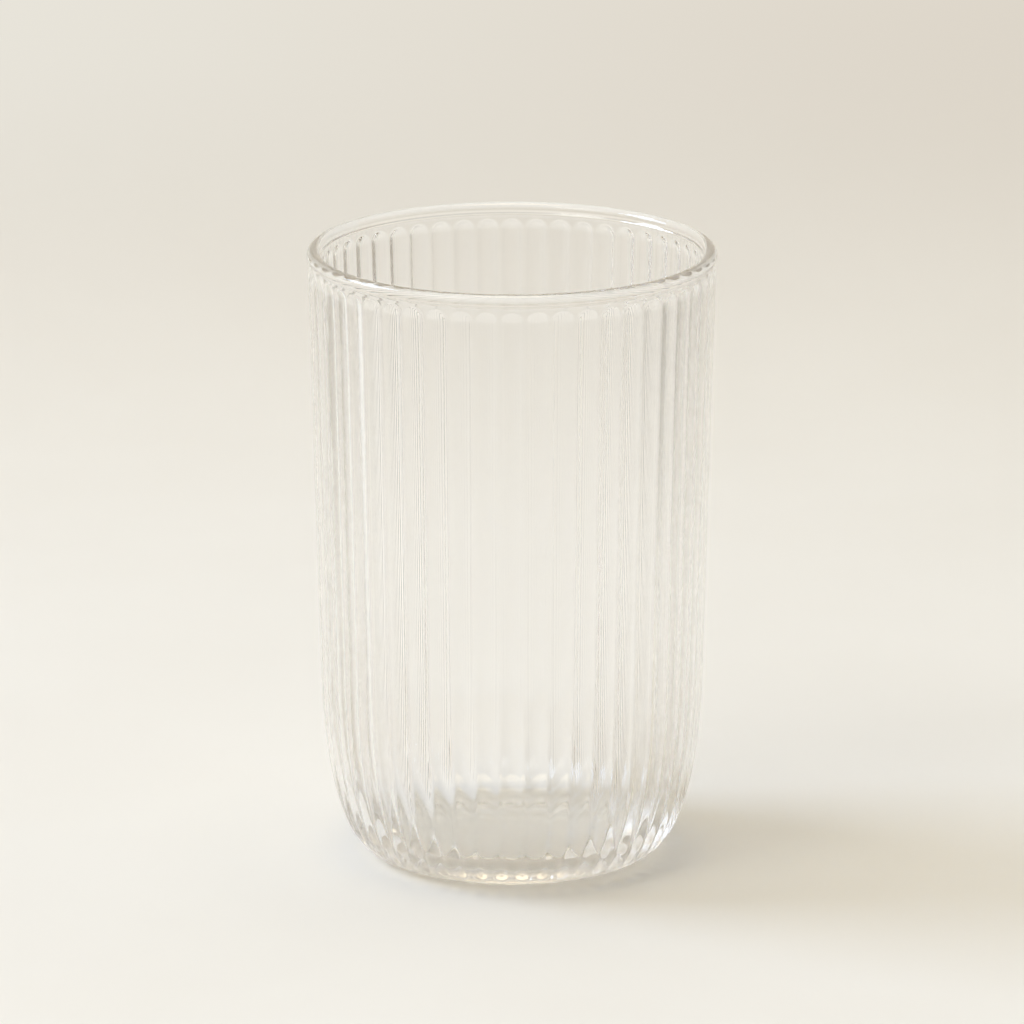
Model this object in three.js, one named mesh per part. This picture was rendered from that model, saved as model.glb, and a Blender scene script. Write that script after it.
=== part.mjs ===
// Ribbed drinking tumbler, pressed in one piece of clear glass.
// Millimetres, +Z up, origin at the centre of the plane that the foot rests on.
// The outside carries upright ribs under a round lip, and the inside is smooth.

import * as THREE from 'three';

// Overall sizes
const height = 122;              // foot to the top of the lip
const rimDiameter = 80;          // over the lip
const lipThickness = 2.7;        // full-round lip
const neckDepth = 0.65;          // the neck under the lip lies this far inside it
const neckHeight = 0.8;          // plain neck between the lip and the tips of the ribs

// Outside, measured over the rib crests
const flareDepth = 24;           // the wall opens slightly over this depth below the rim
const flareDiameter = 78.4;      // where that flare begins
const heelDiameter = 75.2;       // where the straight wall turns into the heel
const heelHeight = 37;
const heelWallPull = 21;         // how far the heel's curve keeps to the wall
const heelFootPull = 9;          // and how far it keeps to the table
const footDiameter = 49;         // outer edge of the resting ring

// Ribs
const ribCount = 50;
const ribRelief = 0.6;           // crest over groove
const ribArchHeight = 2.4;       // height of their rounded tops
const grooveEndHeight = 8;       // below this the grooves run out towards the foot

// Inside and underside
const wallThickness = 2;         // behind the grooves
const baseThickness = 4;         // from the resting plane to the inside floor
const floorDiameter = 44;        // flat part of the inside floor
const bowlHeight = 36;           // where the inside wall turns into the bowl of the floor
const bowlWallPull = 21;
const bowlFloorPull = 9;
const footRingWidth = 4.5;       // the flat ring that the glass stands on
const puntDepth = 0.5;           // shallow hollow inside that ring

// Facets
const stepsPerRib = 4;           // columns across one rib, even, with a column on each crest and groove
const smoothColumns = ribCount * stepsPerRib / 2;
const ribColumns = smoothColumns * 2;
const heelRows = 7;
const flareRows = 2;
const archRows = 4;
const lipQuarterRows = 3;
const bowlRows = 6;
const puntRows = 2;

const glass = new THREE.MeshStandardMaterial({
  name: 'clear_glass',
  color: 0xf3f4f1,
  roughness: 0.03,
  metalness: 0,
  transparent: true,
  opacity: 0.35,
});

// A ring of points: a section point for every column, given as radius and height
function ring(columns, sectionPoint) {
  const points = [];
  for (let column = 0; column < columns; column += 1) {
    const angle = column / columns * 2 * Math.PI;
    const point = sectionPoint(angle);
    points.push(new THREE.Vector3(point.x * Math.sin(angle), -point.x * Math.cos(angle), point.y));
  }
  return points;
}

function roundRing(point) {
  return ring(smoothColumns, () => point);
}

// Position across a rib: 0 on its crest, 1 in the groove on either side
function acrossRib(angle) {
  const turn = angle / (2 * Math.PI) * ribCount;
  return Math.abs(turn - Math.round(turn)) * 2;
}

// Share of the full groove depth at a place on the wall. The ribs end at the top in round arches
// and the grooves run out above the foot.
function grooveShare(angle, z) {
  const across = acrossRib(angle);
  const intoArch = Math.max(0, (z - archBottom) / ribArchHeight);
  const foot = THREE.MathUtils.smoothstep(z, 0, grooveEndHeight);
  return Math.min(1, across * across + intoArch * intoArch) * foot;
}

// A ring of the ribbed outside, from a point of the crest line and the line's direction there
function ribbedRing(crest, direction) {
  const inward = new THREE.Vector2(-direction.y, direction.x);
  return ring(ribColumns, (angle) => {
    const depth = ribRelief * grooveShare(angle, crest.y);
    return crest.clone().addScaledVector(inward, depth);
  });
}

// The lip is a round bead, and the neck meets its outside at an angle below the middle of the bead
const lipRadius = lipThickness / 2;
const lipCentre = new THREE.Vector2(rimDiameter / 2 - lipRadius, height - lipRadius);
const neckAngle = -Math.acos(1 - neckDepth / lipRadius);

function lipPoint(angle) {
  const swell = new THREE.Vector2(Math.cos(angle), Math.sin(angle)).multiplyScalar(lipRadius);
  return lipCentre.clone().add(swell);
}

// The crest line runs from the foot, round the heel, up the wall and out through the flare. The
// grooves between the crests run out flush into the neck.
const neckTop = lipPoint(neckAngle);
const footEdge = new THREE.Vector2(footDiameter / 2, 0);
const heelTop = new THREE.Vector2(heelDiameter / 2, heelHeight);
const flareStart = new THREE.Vector2(flareDiameter / 2, height - flareDepth);
const crestTop = new THREE.Vector2(neckTop.x + ribRelief, neckTop.y - neckHeight);
const archBottom = crestTop.y - ribArchHeight;
const wallDirection = flareStart.clone().sub(heelTop).normalize();

const heelCurve = new THREE.CubicBezierCurve(
  footEdge,
  footEdge.clone().add(new THREE.Vector2(heelFootPull, 0)),
  heelTop.clone().addScaledVector(wallDirection, -heelWallPull),
  heelTop,
);
const flareCurve = new THREE.QuadraticBezierCurve(
  flareStart,
  flareStart.clone().addScaledVector(wallDirection, (crestTop.y - flareStart.y) / 2),
  crestTop,
);

// Share of the flare's curve at which it reaches a height; its control point lies halfway up
function flareShare(z) {
  return (z - flareStart.y) / (crestTop.y - flareStart.y);
}

function outsideRings() {
  const rings = [];
  for (let row = 0; row <= heelRows; row += 1) {
    const t = row / heelRows;
    rings.push(ribbedRing(heelCurve.getPoint(t), heelCurve.getTangent(t)));
  }
  const archStart = flareShare(archBottom);
  for (let row = 0; row <= flareRows; row += 1) {
    const t = row / flareRows * archStart;
    rings.push(ribbedRing(flareCurve.getPoint(t), flareCurve.getTangent(t)));
  }
  for (let row = 1; row <= archRows; row += 1) {
    const t = archStart + (1 - archStart) * Math.sin(row / archRows * Math.PI / 2);
    rings.push(ribbedRing(flareCurve.getPoint(t), flareCurve.getTangent(t)));
  }
  return rings;
}

// Over the lip, from the neck outside to the middle of the bead inside
function lipRings() {
  const rings = [roundRing(neckTop)];
  for (let row = 0; row <= lipQuarterRows * 2; row += 1) {
    rings.push(roundRing(lipPoint(row / lipQuarterRows * Math.PI / 2)));
  }
  return rings;
}

// The inside follows the outside at the wall's thickness, from the lip through the flare and down
// the wall, and then rounds into the floor
function insideRings() {
  const crestToInside = ribRelief + wallThickness;
  const flareInside = new THREE.Vector2(flareStart.x - crestToInside, flareStart.y);
  const lipInside = lipPoint(Math.PI);
  const insideFlare = new THREE.QuadraticBezierCurve(
    lipInside,
    flareInside.clone().addScaledVector(wallDirection, (lipInside.y - flareInside.y) / 2),
    flareInside,
  );
  const bowlTop = new THREE.Vector2(heelTop.x - crestToInside, bowlHeight);
  const floorEdge = new THREE.Vector2(floorDiameter / 2, baseThickness);
  const bowlCurve = new THREE.CubicBezierCurve(
    bowlTop,
    bowlTop.clone().addScaledVector(wallDirection, -bowlWallPull),
    floorEdge.clone().add(new THREE.Vector2(bowlFloorPull, 0)),
    floorEdge,
  );
  return [...insideFlare.getPoints(flareRows).slice(1), ...bowlCurve.getPoints(bowlRows)].map(roundRing);
}

// The underside: a shallow hollow, and the inner edge of the flat ring round it
function puntRings() {
  const puntRadius = footEdge.x - footRingWidth;
  const rings = [];
  for (let row = 1; row <= puntRows; row += 1) {
    const share = row / puntRows;
    const rise = puntDepth * (1 - share * share);
    rings.push(roundRing(new THREE.Vector2(puntRadius * share, rise)));
  }
  return rings;
}

// Skins a stack of rings from one point on the axis to another. Neighbouring rings have the same
// number of points, or one has twice as many as the other.
function skin(startHeight, rings, endHeight) {
  const positions = [];
  const faces = [];
  const addPoint = (point) => positions.push(point.x, point.y, point.z) / 3 - 1;
  const start = addPoint(new THREE.Vector3(0, 0, startHeight));
  const indices = rings.map((points) => points.map(addPoint));
  const end = addPoint(new THREE.Vector3(0, 0, endHeight));
  const next = (row, column) => row[(column + 1) % row.length];

  indices[0].forEach((point, column) => faces.push(start, next(indices[0], column), point));
  for (let level = 1; level < indices.length; level += 1) {
    const lower = indices[level - 1];
    const upper = indices[level];
    if (lower.length === upper.length) {
      lower.forEach((point, column) => {
        faces.push(point, next(lower, column), next(upper, column));
        faces.push(point, next(upper, column), upper[column]);
      });
    } else if (lower.length > upper.length) {
      upper.forEach((point, column) => {
        const middle = lower[column * 2 + 1];
        faces.push(lower[column * 2], middle, point);
        faces.push(middle, next(lower, column * 2 + 1), next(upper, column));
        faces.push(middle, next(upper, column), point);
      });
    } else {
      lower.forEach((point, column) => {
        const middle = upper[column * 2 + 1];
        faces.push(point, middle, upper[column * 2]);
        faces.push(point, next(lower, column), middle);
        faces.push(next(lower, column), next(upper, column * 2 + 1), middle);
      });
    }
  }
  const last = indices[indices.length - 1];
  last.forEach((point, column) => faces.push(point, next(last, column), end));

  const geometry = new THREE.BufferGeometry();
  geometry.setAttribute('position', new THREE.Float32BufferAttribute(positions, 3));
  geometry.setIndex(faces);
  geometry.computeVertexNormals();
  return geometry;
}

function glassBody() {
  const rings = [...puntRings(), ...outsideRings(), ...lipRings(), ...insideRings()];
  const body = new THREE.Mesh(skin(puntDepth, rings, baseThickness), glass);
  body.name = 'glass_body';
  return body;
}

const tumbler = new THREE.Group();
tumbler.name = 'ribbed_tumbler';
tumbler.add(glassBody());

export default tumbler;
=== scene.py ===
import math
import bpy
import numpy as np
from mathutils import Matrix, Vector


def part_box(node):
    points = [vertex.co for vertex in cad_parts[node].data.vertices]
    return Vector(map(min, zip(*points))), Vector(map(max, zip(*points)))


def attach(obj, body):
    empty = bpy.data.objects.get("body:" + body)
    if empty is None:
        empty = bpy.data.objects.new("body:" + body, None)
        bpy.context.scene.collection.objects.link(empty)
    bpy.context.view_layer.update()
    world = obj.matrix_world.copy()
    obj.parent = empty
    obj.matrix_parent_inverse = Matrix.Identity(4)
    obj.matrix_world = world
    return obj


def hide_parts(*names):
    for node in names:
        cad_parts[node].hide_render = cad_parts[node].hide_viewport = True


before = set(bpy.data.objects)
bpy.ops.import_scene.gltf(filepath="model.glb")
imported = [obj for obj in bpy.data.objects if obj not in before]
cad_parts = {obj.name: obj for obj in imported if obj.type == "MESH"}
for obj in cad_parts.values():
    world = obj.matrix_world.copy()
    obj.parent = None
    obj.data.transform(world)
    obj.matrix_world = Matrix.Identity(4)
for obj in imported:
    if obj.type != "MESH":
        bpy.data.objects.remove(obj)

scene = bpy.context.scene
scene.view_settings.view_transform = "Standard"
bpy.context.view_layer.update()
glassLow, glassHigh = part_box("glass_body")
glassHeight = glassHigh.z - glassLow.z
print("frame loaded, glass stands", round(glassHeight * 1000, 1), "mm tall")


# A direction seen from the glass: azimuth 0 is the camera's side, -90 its left, 180 behind
def towards(azimuth, elevation):
    az, el = math.radians(azimuth), math.radians(elevation)
    return Vector((math.sin(az) * math.cos(el), -math.cos(az) * math.cos(el), math.sin(el)))


def linkToScene(name, data):
    thing = bpy.data.objects.new(name, data)
    scene.collection.objects.link(thing)
    return thing


cameraView = {
    "lens": 322.6,           # mm
    "sensorWidth": 36,
    "clipEnd": 50,           # metres
    "distance": 1.8,         # from the point it looks at
    "elevation": 15.177,
    "aimShare": 0.5623,      # of the glass's height
}


def setCamera(v):
    data = bpy.data.cameras.new("productCamera")
    data.sensor_width = v["sensorWidth"]
    data.sensor_fit = "HORIZONTAL"
    data.lens = v["lens"]
    data.clip_end = v["clipEnd"]
    camera = linkToScene("productCamera", data)
    back = towards(0, v["elevation"])
    camera.location = Vector((0, 0, glassHeight * v["aimShare"])) + back * v["distance"]
    camera.rotation_euler = (-back).to_track_quat("-Z", "Y").to_euler()
    scene.camera = camera


setCamera(cameraView)
print("camera set")


# Node helpers
def addNode(tree, kind, settings=None, values=None):
    node = tree.nodes.new(kind)
    for key, value in (settings or {}).items():
        setattr(node, key, value)
    for key, value in (values or {}).items():
        node.inputs[key].default_value = value
    return node


def newMaterial(name):
    material = bpy.data.materials.new(name)
    material.use_nodes = True
    tree = material.node_tree
    return material, tree, tree.nodes["Principled BSDF"], tree.nodes["Material Output"]


# A soft step from 0 at the start to 1 at the end
def softStep(tree, value, start, end):
    node = addNode(tree, "ShaderNodeMapRange", {"interpolation_type": "SMOOTHSTEP"},
                   {"From Min": start, "From Max": end})
    tree.links.new(value, node.inputs["Value"])
    return node.outputs["Result"]


def combine(tree, operation, first, second):
    node = addNode(tree, "ShaderNodeMath", {"operation": operation})
    tree.links.new(first, node.inputs[0])
    tree.links.new(second, node.inputs[1])
    return node.outputs["Value"]


# Lays a written color over another, which is a written one too or comes from a node
def layColor(tree, factor, under, over):
    node = addNode(tree, "ShaderNodeMix", {"data_type": "RGBA"})
    node.inputs["B"].default_value = over
    if isinstance(under, tuple):
        node.inputs["A"].default_value = under
    else:
        tree.links.new(under, node.inputs["A"])
    tree.links.new(factor, node.inputs["Factor"])
    return node.outputs["Result"]


def mixShaders(tree, factor, first, second):
    node = addNode(tree, "ShaderNodeMixShader")
    tree.links.new(factor, node.inputs["Fac"])
    tree.links.new(first, node.inputs[1])
    tree.links.new(second, node.inputs[2])
    return node.outputs["Shader"]


# Soft cloudy patches between two values, shared by the glass and the paper
cloudNoise = {
    "detail": 3.0,
    "roughness": 0.55,
    "spread": (0.3, 0.7),    # noise values that become the low and the high one
}


def makeCloudGroup(v):
    group = bpy.data.node_groups.new("softPatches", "ShaderNodeTree")
    sockets = [("Vector", "INPUT", "NodeSocketVector"), ("Scale", "INPUT", "NodeSocketFloat"),
               ("Low", "INPUT", "NodeSocketFloat"), ("High", "INPUT", "NodeSocketFloat"),
               ("Value", "OUTPUT", "NodeSocketFloat")]
    for name, side, kind in sockets:
        group.interface.new_socket(name=name, in_out=side, socket_type=kind)
    entry = addNode(group, "NodeGroupInput")
    leave = addNode(group, "NodeGroupOutput")
    noise = addNode(group, "ShaderNodeTexNoise", {"noise_dimensions": "3D"},
                    {"Detail": v["detail"], "Roughness": v["roughness"]})
    spread = addNode(group, "ShaderNodeMapRange", {"interpolation_type": "SMOOTHSTEP"},
                     {"From Min": v["spread"][0], "From Max": v["spread"][1]})
    link = group.links.new
    link(entry.outputs["Vector"], noise.inputs["Vector"])
    link(entry.outputs["Scale"], noise.inputs["Scale"])
    link(noise.outputs["Fac"], spread.inputs["Value"])
    link(entry.outputs["Low"], spread.inputs["To Min"])
    link(entry.outputs["High"], spread.inputs["To Max"])
    link(spread.outputs["Result"], leave.inputs["Value"])
    return group


softPatches = makeCloudGroup(cloudNoise)


def placePatches(tree, vector, scale, low, high):
    node = addNode(tree, "ShaderNodeGroup", {"node_tree": softPatches},
                   {"Scale": scale, "Low": low, "High": high})
    tree.links.new(vector, node.inputs["Vector"])
    return node.outputs["Value"]


# The glass: one skin from the underside, up the ribbed outside, over the lip and down the inside
glassForm = {                # millimetres
    "lipThickness": 2.7,
    "neckDepth": 0.65,       # the neck lies this far inside the lip
    "neckHeight": 0.8,
    "flareDepth": 24,
    "flareDiameter": 78.4,
    "heelDiameter": 75.2,
    "heelHeight": 37,
    "heelWallPull": 21,
    "heelFootPull": 9,
    "footDiameter": 49,
    "ribCount": 50,
    "ribRelief": 0.6,
    "ribArchHeight": 2.4,
    "grooveFillet": 0.2,     # share of a rib's half width that rounds the groove
    "grooveEndHeight": 8,
    "wallThickness": 2,
    "baseThickness": 4,
    "floorDiameter": 44,
    "bowlHeight": 36,
    "bowlWallPull": 21,
    "bowlFloorPull": 9,
    "footRingWidth": 4.5,
    "puntDepth": 0.5,
    "columnsPerRib": 14,
    "middleShare": 0.02,     # radius of the first and last ring, as a share of the hollow and the floor
    "puntRows": 10,          # rings along each stretch, both ends counted
    "heelRows": 41,
    "wallRows": 5,
    "flareRows": 8,
    "archRows": 13,
    "neckRows": 4,
    "lipRows": 22,
    "insideFlareRows": 6,
    "insideWallRows": 4,
    "bowlRows": 30,
    "floorRows": 5,
}


def cubicCurve(p0, p1, p2, p3, count):
    t = np.linspace(0, 1, count)[:, None]
    point = (1 - t) ** 3 * p0 + 3 * (1 - t) ** 2 * t * p1 + 3 * (1 - t) * t ** 2 * p2 + t ** 3 * p3
    slope = (1 - t) ** 2 * (p1 - p0) + 2 * (1 - t) * t * (p2 - p1) + t ** 2 * (p3 - p2)
    return point, slope


def quadCurve(p0, p1, p2, t):
    t = np.asarray(t)[:, None]
    point = (1 - t) ** 2 * p0 + 2 * (1 - t) * t * p1 + t ** 2 * p2
    slope = (1 - t) * (p1 - p0) + t * (p2 - p1)
    return point, slope


# Depth of the groove across a rib: 0 on the crest, 1 in the groove, with a small fillet there
def grooveShape(rho, fillet):
    rho = np.clip(rho, 0, 1)
    keep = 1 - fillet
    past = rho - keep
    rounded = keep ** 2 + 2 * keep * past - keep / fillet * past ** 2
    return np.where(rho <= keep, rho ** 2, rounded) / keep


def glassSections(v):
    height = glassHeight * 1000
    rimRadius = (glassHigh.x - glassLow.x) * 500
    columns = v["ribCount"] * v["columnsPerRib"]
    turn = np.arange(columns) / v["columnsPerRib"]
    across = np.abs(turn - np.round(turn)) * 2
    sections = []

    lipRadius = v["lipThickness"] / 2
    lipCentre = np.array([rimRadius - lipRadius, height - lipRadius])
    neckAngle = -math.acos(1 - v["neckDepth"] / lipRadius)
    neckTop = lipCentre + lipRadius * np.array([math.cos(neckAngle), math.sin(neckAngle)])
    crestTop = neckTop + np.array([v["ribRelief"], -v["neckHeight"]])
    archBottom = crestTop[1] - v["ribArchHeight"]
    flareStart = np.array([v["flareDiameter"] / 2, height - v["flareDepth"]])
    heelTop = np.array([v["heelDiameter"] / 2, v["heelHeight"]])
    footEdge = np.array([v["footDiameter"] / 2, 0.0])
    up = (flareStart - heelTop) / np.linalg.norm(flareStart - heelTop)
    outward = np.array([1.0, 0.0])

    def plain(points):
        for r, z in points:
            sections.append((np.full(columns, r), np.full(columns, z)))

    def ribbed(points, slopes):
        for point, slope in zip(points, slopes):
            inward = np.array([-slope[1], slope[0]]) / np.linalg.norm(slope)
            intoArch = max(0.0, (point[1] - archBottom) / v["ribArchHeight"])
            foot = min(1.0, point[1] / v["grooveEndHeight"])
            depth = v["ribRelief"] * grooveShape(np.hypot(across, intoArch), v["grooveFillet"])
            depth = depth * foot * foot * (3 - 2 * foot)
            sections.append((point[0] + inward[0] * depth, point[1] + inward[1] * depth))

    # underside and outside
    share = np.linspace(v["middleShare"], 1, v["puntRows"])
    puntRadius = footEdge[0] - v["footRingWidth"]
    plain(np.stack([puntRadius * share, v["puntDepth"] * (1 - share ** 2)], 1))
    ribbed(*cubicCurve(footEdge, footEdge + outward * v["heelFootPull"],
                       heelTop - up * v["heelWallPull"], heelTop, v["heelRows"]))
    wall = heelTop + (flareStart - heelTop) * np.linspace(0, 1, v["wallRows"])[1:, None]
    ribbed(wall, np.tile(up, (len(wall), 1)))
    archShare = (archBottom - flareStart[1]) / (crestTop[1] - flareStart[1])
    upFlare = list(np.linspace(0, archShare, v["flareRows"])[1:])
    archTurn = np.linspace(0, np.pi / 2, v["archRows"])[1:]
    upArch = list(archShare + (1 - archShare) * np.sin(archTurn))
    flareControl = flareStart + up * (crestTop[1] - flareStart[1]) / 2
    ribbed(*quadCurve(flareStart, flareControl, crestTop, upFlare + upArch))

    # neck and lip
    neckBottom = np.array([neckTop[0], crestTop[1]])
    plain(neckBottom + (neckTop - neckBottom) * np.linspace(0, 1, v["neckRows"])[1:-1, None])
    lipAngles = np.linspace(neckAngle, math.pi, v["lipRows"])
    plain(lipCentre + lipRadius * np.stack([np.cos(lipAngles), np.sin(lipAngles)], 1))

    # inside: follows the outside at the wall's thickness, then rounds into the floor
    crestToInside = v["ribRelief"] + v["wallThickness"]
    lipInside = lipCentre - outward * lipRadius
    flareInside = flareStart - outward * crestToInside
    insideControl = flareInside + up * (lipInside[1] - flareInside[1]) / 2
    downFlare = np.linspace(0, 1, v["insideFlareRows"])[1:]
    plain(quadCurve(lipInside, insideControl, flareInside, downFlare)[0])
    bowlTop = np.array([heelTop[0] - crestToInside, v["bowlHeight"]])
    plain(flareInside + (bowlTop - flareInside) * np.linspace(0, 1, v["insideWallRows"])[1:-1, None])
    floorEdge = np.array([v["floorDiameter"] / 2, v["baseThickness"]])
    plain(cubicCurve(bowlTop, bowlTop - up * v["bowlWallPull"],
                     floorEdge + outward * v["bowlFloorPull"], floorEdge, v["bowlRows"])[0])
    share = np.linspace(1, v["middleShare"], v["floorRows"])[1:]
    plain(np.stack([floorEdge[0] * share, np.full(len(share), floorEdge[1])], 1))
    return columns, sections


def skinGlass(v):
    columns, sections = glassSections(v)
    angle = np.arange(columns) / columns * 2 * np.pi
    rows = [np.stack([r * np.sin(angle), -r * np.cos(angle), z], 1) for r, z in sections]
    points = np.concatenate(rows + [[[0, 0, v["puntDepth"]], [0, 0, v["baseThickness"]]]]) / 1000
    here = np.arange(len(rows) * columns).reshape(len(rows), columns)
    beside = np.roll(here, -1, 1)
    faces = np.stack([here[:-1], beside[:-1], beside[1:], here[1:]], -1).reshape(-1, 4).tolist()
    below, above = len(points) - 2, len(points) - 1
    faces += [(below, b, a) for a, b in zip(here[0].tolist(), beside[0].tolist())]
    faces += [(a, b, above) for a, b in zip(here[-1].tolist(), beside[-1].tolist())]
    mesh = bpy.data.meshes.new("tumblerGlass")
    mesh.from_pydata(points.tolist(), [], faces)
    mesh.polygons.foreach_set("use_smooth", [True] * len(mesh.polygons))
    mesh.update()
    return linkToScene("tumblerGlass", mesh)


tumblerGlass = skinGlass(glassForm)
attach(tumblerGlass, "root")
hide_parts("glass_body")
print("glass skinned,", len(tumblerGlass.data.polygons), "faces")


glassFinish = {
    "ior": 1.5,
    "absorbColor": (0.75, 0.725, 0.68, 1),    # what a long way through the glass takes out
    "absorbDensity": 10,
    "patchScale": 90,        # wiped-dry patches, per metre
    "smoothest": 0.0,
    "dullest": 0.003,
    "waveScale": 140,        # slow unevenness of pressed glass, per metre
    "waveHeight": 0.0000015,
}


def clearGlass(v):
    material, tree, shader, output = newMaterial("clearGlass")
    shader.inputs["Base Color"].default_value = (1, 1, 1, 1)
    shader.inputs["IOR"].default_value = v["ior"]
    shader.inputs["Transmission Weight"].default_value = 1
    place = addNode(tree, "ShaderNodeTexCoord").outputs["Object"]
    rough = placePatches(tree, place, v["patchScale"], v["smoothest"], v["dullest"])
    wave = placePatches(tree, place, v["waveScale"], 0, 1)
    bump = addNode(tree, "ShaderNodeBump", {}, {"Strength": 1, "Distance": v["waveHeight"]})
    absorb = addNode(tree, "ShaderNodeVolumeAbsorption", {},
                     {"Color": v["absorbColor"], "Density": v["absorbDensity"]})
    tree.links.new(rough, shader.inputs["Roughness"])
    tree.links.new(wave, bump.inputs["Height"])
    tree.links.new(bump.outputs["Normal"], shader.inputs["Normal"])
    tree.links.new(absorb.outputs["Volume"], output.inputs["Volume"])
    return material


tumblerGlass.data.materials.append(clearGlass(glassFinish))
print("glass finish made")


# The paper sweep, a hair under the foot so that light gets in between
paperSweep = {               # metres
    "drop": 0.0001,
    "front": 3.0,
    "halfWidth": 3.0,
    "coveStart": 0.30,
    "coveRadius": 0.30,
    "coveSteps": 24,
    "wallTop": 0.8,
    "color": (0.85, 0.84, 0.80, 1),
    "shadeColor": (0.835, 0.822, 0.778, 1),
    "roughness": 0.9,
    "specular": 0.1,
    "paintedLitBackLeft": (0.81, 0.78, 0.705, 1),     # painted light: the rise behind glows this set colour for the lens and the glass, lighter on the left
    # painted shade: the glowing rise goes darker to the right
    "paintedShadedBackRight": (0.72, 0.665, 0.58, 1),
    "backHalfWidth": 0.18,
    "backHeights": (0.008, 0.06),
    "paintedLightBandColor": (0.88, 0.84, 0.75, 1),     # painted light: a brighter band across the glowing rise
    "bandFrom": (0.06, 0.12),
    "bandTo": (0.13, 0.20),
    "paintedShadeColor": (0.55, 0.535, 0.50, 1),     # painted shade: darker paper nearer the camera and off to the right
    "paintedShadeNear": (0.16, 0.5),
    "paintedShadeRight": (0.15, 0.42),
    "patchScale": 9,
    "toothScale": 2600,      # the paper's fine tooth, per metre
    "toothHeight": 0.00001,
    "toothStrength": 0.4,
}


def sweepMesh(v):
    low = glassLow.z - v["drop"]
    side = [(-v["front"], low), (v["coveStart"], low)]
    for step in range(1, v["coveSteps"] + 1):
        turn = step / v["coveSteps"] * math.pi / 2
        side.append((v["coveStart"] + v["coveRadius"] * math.sin(turn),
                     low + v["coveRadius"] * (1 - math.cos(turn))))
    side.append((v["coveStart"] + v["coveRadius"], v["wallTop"]))
    points = [(x, y, z) for y, z in side for x in (-v["halfWidth"], v["halfWidth"])]
    faces = [(2 * i, 2 * i + 1, 2 * i + 3, 2 * i + 2) for i in range(len(side) - 1)]
    mesh = bpy.data.meshes.new("paperSweep")
    mesh.from_pydata(points, [], faces)
    mesh.polygons.foreach_set("use_smooth", [True] * len(mesh.polygons))
    return mesh


def creamPaper(v):
    material, tree, shader, output = newMaterial("creamPaper")
    link = tree.links.new
    place = addNode(tree, "ShaderNodeNewGeometry").outputs
    split = addNode(tree, "ShaderNodeSeparateXYZ")
    path = addNode(tree, "ShaderNodeLightPath").outputs
    link(place["Position"], split.inputs["Vector"])
    x, y, z = [split.outputs[axis] for axis in "XYZ"]

    # the paper itself
    # painted shade: the paper is blended toward a darker colour nearer the camera and off to the right
    nearer = softStep(tree, y, -v["paintedShadeNear"][0], -v["paintedShadeNear"][1])
    rightward = softStep(tree, x, *v["paintedShadeRight"])
    paintedShadeMask = combine(tree, "MAXIMUM", nearer, rightward)
    patches = placePatches(tree, place["Position"], v["patchScale"], 0, 1)
    color = layColor(tree, patches, v["color"], v["shadeColor"])
    tooth = placePatches(tree, place["Position"], v["toothScale"], 0, 1)
    bump = addNode(tree, "ShaderNodeBump", {},
                   {"Strength": v["toothStrength"], "Distance": v["toothHeight"]})
    shader.inputs["Roughness"].default_value = v["roughness"]
    shader.inputs["Specular IOR Level"].default_value = v["specular"]
    link(layColor(tree, paintedShadeMask, color, v["paintedShadeColor"]), shader.inputs["Base Color"])
    link(tooth, bump.inputs["Height"])
    link(bump.outputs["Normal"], shader.inputs["Normal"])

    # the rise behind the glass: painted light, a glow of set colour for the camera and the glass,
    # lighter on the left and painted darker to the right
    sideways = softStep(tree, x, -v["backHalfWidth"], v["backHalfWidth"])
    # painted light: a brighter band across the glowing rise
    bandStart = softStep(tree, z, *v["bandFrom"])
    bandEnd = softStep(tree, z, v["bandTo"][1], v["bandTo"][0])
    band = combine(tree, "MULTIPLY", bandStart, bandEnd)
    back = layColor(tree, sideways, v["paintedLitBackLeft"], v["paintedShadedBackRight"])
    back = layColor(tree, band, back, v["paintedLightBandColor"])
    # painted light: the rise glows instead of being lit, and the painted shade to the right is laid
    # over it too
    glow = addNode(tree, "ShaderNodeEmission")
    link(layColor(tree, rightward, back, v["paintedShadeColor"]), glow.inputs["Color"])
    clearOrGloss = combine(tree, "MAXIMUM", path["Is Glossy Ray"], path["Is Transmission Ray"])
    seen = combine(tree, "MAXIMUM", clearOrGloss, path["Is Camera Ray"])
    rise = combine(tree, "MULTIPLY", softStep(tree, z, *v["backHeights"]), seen)
    risen = mixShaders(tree, rise, shader.outputs["BSDF"], glow.outputs["Emission"])

    # the camera looks through the paper's back
    behind = combine(tree, "MULTIPLY", place["Backfacing"], path["Is Camera Ray"])
    seeThrough = addNode(tree, "ShaderNodeBsdfTransparent")
    link(mixShaders(tree, behind, risen, seeThrough.outputs["BSDF"]), output.inputs["Surface"])
    return material


def layPaper(v):
    sweep = linkToScene("paperSweep", sweepMesh(v))
    sweep.data.materials.append(creamPaper(v))
    return sweep


layPaper(paperSweep)
print("paper laid")


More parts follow.
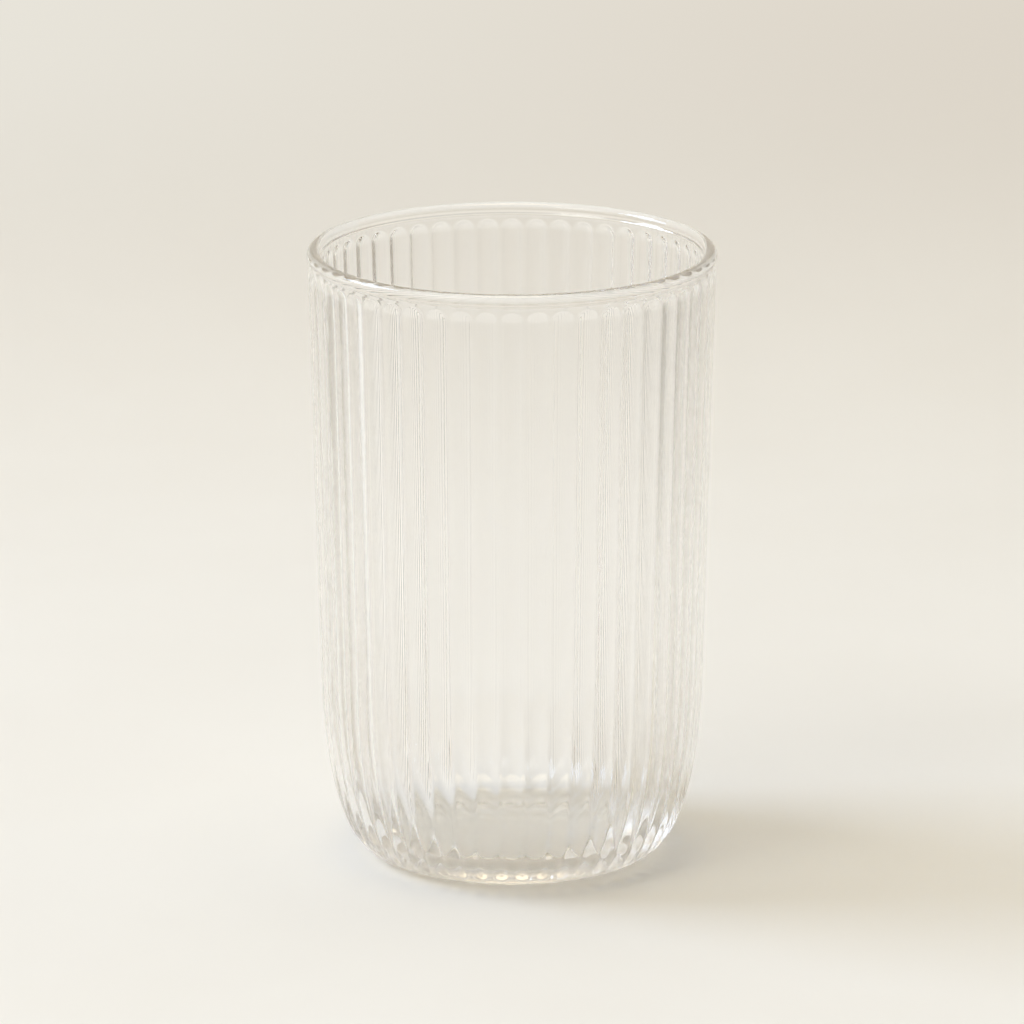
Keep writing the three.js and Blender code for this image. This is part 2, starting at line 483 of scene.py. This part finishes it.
keyBox = {                   # cool daylight from the left
    "name": "keyBox",
    "azimuth": -102,
    "elevation": 36,
    "distance": 3,
    "width": 1.48,
    "height": 1.4,
    "power": 50,
    "color": (0.617, 0.754, 1),
    "aimShare": 0.4,         # of the glass's height
}
roomLight = {
    "walls": (0.43, 0.32, 0.19, 1),
    "parts": [               # azimuth, elevation, reach from full to none, color
        (0, 90, (42, 58), (1.01, 1.0, 0.965, 1)),        # ceiling
        (40, 58, (15, 42), (0.107, 0.104, 0.092, 1)),    # its unlit side
        (-50, 48, (7, 15), (3.3, 3.3, 3.2, 1)),          # small window at the left front
        (0, 90, (10, 20), (3.8, 3.45, 2.75, 1)),         # warm light overhead
    ],
}


def hangLamp(v):
    data = bpy.data.lights.new(v["name"], "AREA")
    data.shape = "RECTANGLE"
    data.size = v["width"]
    data.size_y = v["height"]
    data.energy = v["power"]
    data.color = v["color"]
    lamp = linkToScene(v["name"], data)
    aim = Vector((0, 0, glassHeight * v["aimShare"]))
    away = towards(v["azimuth"], v["elevation"])
    lamp.location = aim + away * v["distance"]
    lamp.rotation_euler = (-away).to_track_quat("-Z", "Y").to_euler()
    lamp.visible_camera = False


# A part of the room round one direction, laid over the color so far
def roomPart(tree, place, under, direction, reach, color):
    facing = addNode(tree, "ShaderNodeVectorMath", {"operation": "DOT_PRODUCT"})
    facing.inputs[1].default_value = direction
    tree.links.new(place, facing.inputs[0])
    inner, outer = [math.cos(math.radians(angle)) for angle in reach]
    fade = softStep(tree, facing.outputs["Value"], outer, inner)
    return layColor(tree, fade, under, color)


def lightRoom(v):
    world = bpy.data.worlds.new("room")
    world.use_nodes = True
    scene.world = world
    tree = world.node_tree
    place = addNode(tree, "ShaderNodeTexCoord").outputs["Generated"]
    color = v["walls"]
    for azimuth, elevation, reach, partColor in v["parts"]:
        color = roomPart(tree, place, color, towards(azimuth, elevation), reach, partColor)
    tree.links.new(color, tree.nodes["Background"].inputs["Color"])


hangLamp(keyBox)
lightRoom(roomLight)

# Light runs far inside the lip and the base before it comes out
lightPaths = {
    "bounces": 128,
    "indirectClamp": 0,
    "glossyBlur": 0.3,
}
scene.cycles.max_bounces = lightPaths["bounces"]
scene.cycles.transmission_bounces = lightPaths["bounces"]
scene.cycles.glossy_bounces = lightPaths["bounces"]
scene.cycles.sample_clamp_indirect = lightPaths["indirectClamp"]
scene.cycles.blur_glossy = lightPaths["glossyBlur"]
print("lamps hung")
